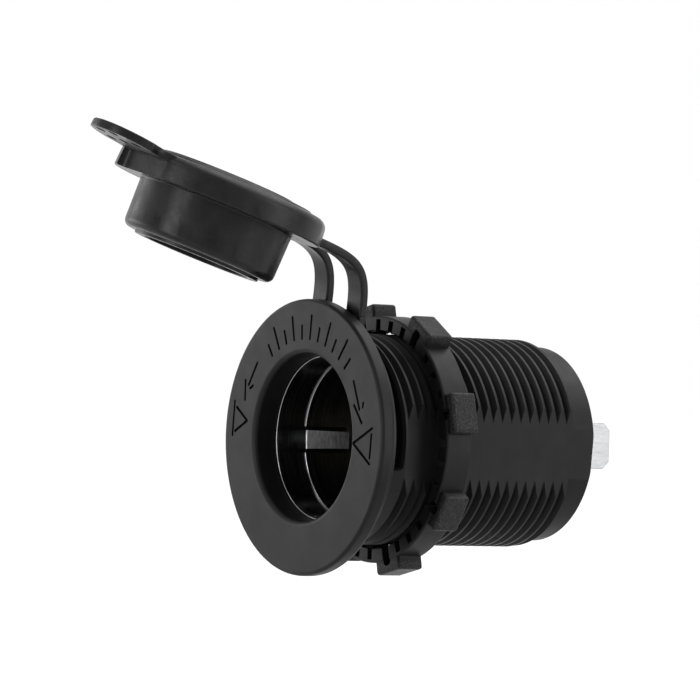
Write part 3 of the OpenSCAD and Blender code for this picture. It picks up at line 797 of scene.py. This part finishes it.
class SOCKET_OT_shell(bpy.types.Operator):
    """Plated contact shell: stepped cup with a rolled rim and two sprung side tongues"""

    bl_idname = "socket.shell"
    bl_label = "Contact Shell"

    def execute(self, context):
        rise = context.scene.socket_sizes.tongue_rise / MM
        rim, wall, bore, lead = -0.3, 0.3, 10.6, 10.85
        shell = piece_from(turned([
            (lead, rim, 0.1), (lead + wall, rim, 0.03), (lead + wall, STEP + wall, 0.1), (bore + wall, STEP + wall),
            (bore + wall, BASE + wall), (10.5, BASE + wall), (10.5, FLOOR_FRONT, 0.4), (3.8, FLOOR_FRONT),
            (3.8, SHELL_FLOOR), (10.2, SHELL_FLOOR, 0.3), (10.2, BASE, 0.1), (bore, BASE, 0.15), (bore, STEP, 0.12),
            (lead, STEP)], 192), "stepped_shell")
        root, tip, half, slot = 0.6, 11.1, 1.3, 0.5
        cuts = []
        for side in (0, 180):
            for x, z, size in ((10, half, (root, tip, half + slot)), (10, -half - slot, (root, tip, -half)),
                               (10, -half, (tip - slot, tip, half))):
                cuts.append(block((x, size[0], z), (x + 1.5, size[1], size[2]), 0, side - 7))
        combine(shell, cuts)
        bm = bmesh.new()
        bm.from_mesh(shell.data)
        for place in range(1, 20):
            y = root + (tip - slot - root) * place / 20
            whole = bm.verts[:] + bm.edges[:] + bm.faces[:]
            bmesh.ops.bisect_plane(bm, geom=whole, dist=1e-5, plane_co=(0, y, 0), plane_no=(0, 1, 0))
        for v in bm.verts:
            for side in (-7, 173):
                local = about_axis(-side) @ v.co
                if local.x > 9 and abs(local.z) < half + 0.02 and root < local.y < tip - slot + 0.01:
                    t = (local.y - root) / (tip - slot - root)
                    r = math.hypot(v.co.x, v.co.z)
                    bulge = rise * t * t * (3 - 2 * t)
                    v.co.x *= 1 - bulge / r
                    v.co.z *= 1 - bulge / r
        bm.to_mesh(shell.data)
        bm.free()
        settle(shell, "plated shell")
        shell.data.materials.append(look_of("sprung tongue"))
        for face in shell.data.polygons:
            middle = face.center / MM
            for side in (-7, 173):
                local = about_axis(-side) @ middle
                if local.x > 8 and abs(local.z) < half and STEP < local.y < tip - slot:
                    face.material_index = 1
        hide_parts("contact_shell")
        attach(shell, "socket")
        return {"FINISHED"}


def blade(x, start):
    """Flat blade with chamfered end corners, standing along Y"""
    side, half, end = x - BLADE_SHEET / 2, BLADE_HALF, BLADE_END
    bm = slab([((side, start, -half), 0), ((side, end - 1, -half), 0), ((side, end, -half + 1), 0),
               ((side, end, half - 1), 0), ((side, end - 1, half), 0), ((side, start, half), 0)], (BLADE_SHEET, 0, 0))
    edges = [e for e in bm.edges if abs(e.verts[0].co.x - e.verts[1].co.x) < 1e-6]
    bmesh.ops.bevel(bm, geom=edges, offset=0.14, segments=2, profile=0.5, affect="EDGES", material=-1)
    return bm


def hole(radius, centre, depth, way="Y"):
    bm = bmesh.new()
    bmesh.ops.create_cone(bm, cap_ends=True, segments=40, radius1=radius, radius2=radius, depth=depth)
    bmesh.ops.rotate(bm, cent=(0, 0, 0), matrix=Matrix.Rotation(math.radians(90), 3, "X" if way == "Y" else "Y"),
                     verts=bm.verts)
    bmesh.ops.translate(bm, vec=centre, verts=bm.verts)
    return bm


class SOCKET_OT_terminals(bpy.types.Operator):
    """Both blades with their feet, and the finishes of what clamps them"""

    bl_idname = "socket.terminals"
    bl_label = "Terminals"

    def execute(self, context):
        pad_r, edge, catch, through = 3.8, 0.14, 0.85, 4
        catch_place = BLADE_END - 4

        back = FLOOR_BACK + BLADE_SHEET
        positive = piece_from(blade(POSITIVE_SIDE, FLOOR_BACK + 0.2), "positive_blade")
        pad = turned([(0, FLOOR_BACK), (pad_r, FLOOR_BACK, 0.1), (pad_r, back, 0.1), (0, back)], 64)
        bridge = block((0, FLOOR_BACK, -BLADE_HALF), (POSITIVE_SIDE + BLADE_SHEET / 2, back, BLADE_HALF), edge)
        combine(positive, [pad, bridge], "UNION")
        combine(positive, [
            hole(2.1, (0, FLOOR_BACK, 0), through), hole(catch, (POSITIVE_SIDE, catch_place, 0), through, "X")])

        back = FLOOR_FRONT + BLADE_SHEET
        negative = piece_from(blade(NEGATIVE_SIDE, FLOOR_FRONT + 0.2), "negative_blade")
        foot = block((NEGATIVE_SIDE - BLADE_SHEET / 2, FLOOR_FRONT, -BLADE_HALF), (-5.6, back, BLADE_HALF), edge)
        combine(negative, [foot], "UNION")
        combine(negative, [
            hole(1.1, (-6.8, FLOOR_FRONT, 0), through), hole(catch, (NEGATIVE_SIDE, catch_place, 0), through, "X")])

        for piece, node in ((positive, "positive_terminal"), (negative, "negative_terminal")):
            piece.data.transform(about_axis(TERMINAL_TURN).to_4x4())
            settle(piece, "tinned metal")
            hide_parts(node)
            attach(piece, "socket")
        for node, look in (
                ("front_insulator", "pressed board"), ("centre_contact", "turned brass"),
                ("centre_screw", "turned brass"), ("split_washer", "tinned metal"), ("terminal_nut", "turned brass"),
                ("negative_rivet", "tinned metal")):
            finish(frame["nodes"][node], look)
        return {"FINISHED"}


# Stage


# The camera: bearing, height and roll in degrees, then its shift across and down and its distance in millimetres
CAMERA_TURN = (54.66786, 3.54915, 4.79644)
CAMERA_SHIFT = (-6.44462, 11.63570, 700.0)
# Focal length and width of the picture, both in pixels, and the sensor's width in millimetres
FOCAL_PIXELS = 5250.52
PICTURE_PIXELS = 700
SENSOR = 36


def camera_place():
    """Place and aim of the camera, from its bearing about the flange's middle"""
    az, el, roll = (math.radians(a) for a in CAMERA_TURN)
    back = Vector((math.sin(az) * math.cos(el), -math.cos(az) * math.cos(el), math.sin(el)))
    right = (-back).cross(Vector((0, 0, 1))).normalized()
    up = back.cross(right)
    right, up = math.cos(roll) * right + math.sin(roll) * up, -math.sin(roll) * right + math.cos(roll) * up
    across, down, away = CAMERA_SHIFT
    m = Matrix((right, up, back)).transposed().to_4x4()
    m.translation = (-right * across + up * down + back * away + Vector((0, FACE, 0))) * MM
    return m


def towards(azimuth, elevation):
    """A direction away from the socket: azimuth 0 leads out of the mouth, 90 to its right"""
    a, e = math.radians(azimuth), math.radians(elevation)
    return Vector((math.sin(a) * math.cos(e), -math.cos(a) * math.cos(e), math.sin(e)))


def softbox(name, azimuth, elevation, distance, size, glow):
    """A rectangular lamp that looks at the socket"""
    lamp = bpy.data.lights.new(name, "AREA")
    lamp.shape = "RECTANGLE"
    lamp.size, lamp.size_y = size
    lamp.energy = glow * math.pi * size[0] * size[1]
    way = towards(azimuth, elevation)
    m = way.to_track_quat("Z", "Y").to_matrix().to_4x4()
    m.translation = Vector((0, 0.005, 0.01)) + way * distance
    obj = bpy.data.objects.new(name, lamp)
    bpy.context.scene.collection.objects.link(obj)
    obj.matrix_world = m


# Lamps: bearing, height, distance, width and height in metres, and glow
LAMPS = {
    "left lamp": (-62, -3, 0.62, (0.42, 0.38), 3.8),
    "front lamp": (5, 10, 0.60, (0.14, 0.36), 12.0),
    "high lamp": (-5, 50, 0.60, (0.24, 0.24), 3.0),
    "right lamp": (123, 9, 0.60, (0.26, 0.50), 5.3),
}
# The wide overhead lamp: bearing, height, spread in degrees, and how brightly it lights what faces it
OVERHEAD = (168, 60, 58, 3.0)
# How far the floor lies below the socket's axis, and its radius
FLOOR_DROP = 60
FLOOR_R = 12000


class SOCKET_OT_stage(bpy.types.Operator):
    """Pale floor, soft lamps, white surroundings and the camera"""

    bl_idname = "socket.stage"
    bl_label = "Stage"

    def execute(self, context):
        scene = context.scene
        scene.view_settings.view_transform = "Standard"

        bm = bmesh.new()
        bmesh.ops.create_circle(bm, cap_ends=True, segments=96, radius=FLOOR_R)
        bmesh.ops.translate(bm, vec=(0, 0, -FLOOR_DROP), verts=bm.verts)
        floor = piece_from(bm, "floor")
        floor.data.transform(Matrix.Scale(MM, 4))
        if floor.data.polygons[0].normal.z < 0:
            floor.data.flip_normals()
        f = Finish("floor paper")
        floor.data.materials.append(f.set(Base_Color=(0.9, 0.9, 0.9), Roughness=1.0, Specular_IOR_Level=0.0))

        world = bpy.data.worlds.new("surroundings")
        scene.world = world
        world.use_nodes = True
        tree = world.node_tree
        tree.nodes.clear()
        out = tree.nodes.new("ShaderNodeOutputWorld")
        dim, white = (tree.nodes.new("ShaderNodeBackground") for _ in range(2))
        dim.inputs["Color"].default_value = (0.3, 0.3, 0.3, 1)
        white.inputs["Color"].default_value = (1, 1, 1, 1)
        path = tree.nodes.new("ShaderNodeLightPath")
        seen = path.outputs["Is Camera Ray"]
        for ray in ("Is Glossy Ray", "Is Transmission Ray"):
            either = tree.nodes.new("ShaderNodeMath")
            either.operation = "MAXIMUM"
            tree.links.new(seen, either.inputs[0])
            tree.links.new(path.outputs[ray], either.inputs[1])
            seen = either.outputs[0]
        mix = tree.nodes.new("ShaderNodeMixShader")
        tree.links.new(seen, mix.inputs[0])
        tree.links.new(dim.outputs[0], mix.inputs[1])
        tree.links.new(white.outputs[0], mix.inputs[2])
        tree.links.new(mix.outputs[0], out.inputs[0])

        for name, values in LAMPS.items():
            softbox(name, *values)
        azimuth, elevation, spread, strength = OVERHEAD
        lamp = bpy.data.lights.new("overhead lamp", "SUN")
        lamp.angle, lamp.energy = math.radians(spread), strength
        overhead = bpy.data.objects.new("overhead lamp", lamp)
        scene.collection.objects.link(overhead)
        overhead.matrix_world = towards(azimuth, elevation).to_track_quat("Z", "Y").to_matrix().to_4x4()

        lens = bpy.data.cameras.new("camera")
        lens.sensor_width = SENSOR
        lens.lens = SENSOR * FOCAL_PIXELS / PICTURE_PIXELS
        lens.clip_start, lens.clip_end = 0.05, 30
        camera = bpy.data.objects.new("camera", lens)
        scene.collection.objects.link(camera)
        camera.matrix_world = camera_place()
        scene.camera = camera
        return {"FINISHED"}


class SOCKET_PT_panel(bpy.types.Panel):
    """Lists the pieces, their sizes and their colours"""

    bl_idname = "SOCKET_PT_panel"
    bl_label = "Power Socket"
    bl_space_type = "VIEW_3D"
    bl_region_type = "UI"
    bl_category = "Power Socket"

    def draw(self, context):
        layout = self.layout
        for group in (context.scene.socket_sizes, context.scene.socket_colours):
            box = layout.box()
            for name in group.__annotations__:
                box.prop(group, name)
        for operator in OPERATORS:
            layout.operator(operator.bl_idname)


OPERATORS = (
    SOCKET_OT_body, SOCKET_OT_lock_nut, SOCKET_OT_strap, SOCKET_OT_cap, SOCKET_OT_shell, SOCKET_OT_terminals,
    SOCKET_OT_stage)
CLASSES = (SocketSizes, SocketColours, *OPERATORS, SOCKET_PT_panel)


def register():
    for item in CLASSES:
        bpy.utils.register_class(item)
    bpy.types.Scene.socket_sizes = bpy.props.PointerProperty(type=SocketSizes)
    bpy.types.Scene.socket_colours = bpy.props.PointerProperty(type=SocketColours)


def unregister():
    del bpy.types.Scene.socket_colours
    del bpy.types.Scene.socket_sizes
    for item in reversed(CLASSES):
        bpy.utils.unregister_class(item)


def main():
    register()
    bpy.ops.socket.body()
    bpy.ops.socket.lock_nut()
    bpy.ops.socket.strap()
    bpy.ops.socket.cap()
    bpy.ops.socket.shell()
    bpy.ops.socket.terminals()
    bpy.ops.socket.stage()


if __name__ == "__main__":
    main()
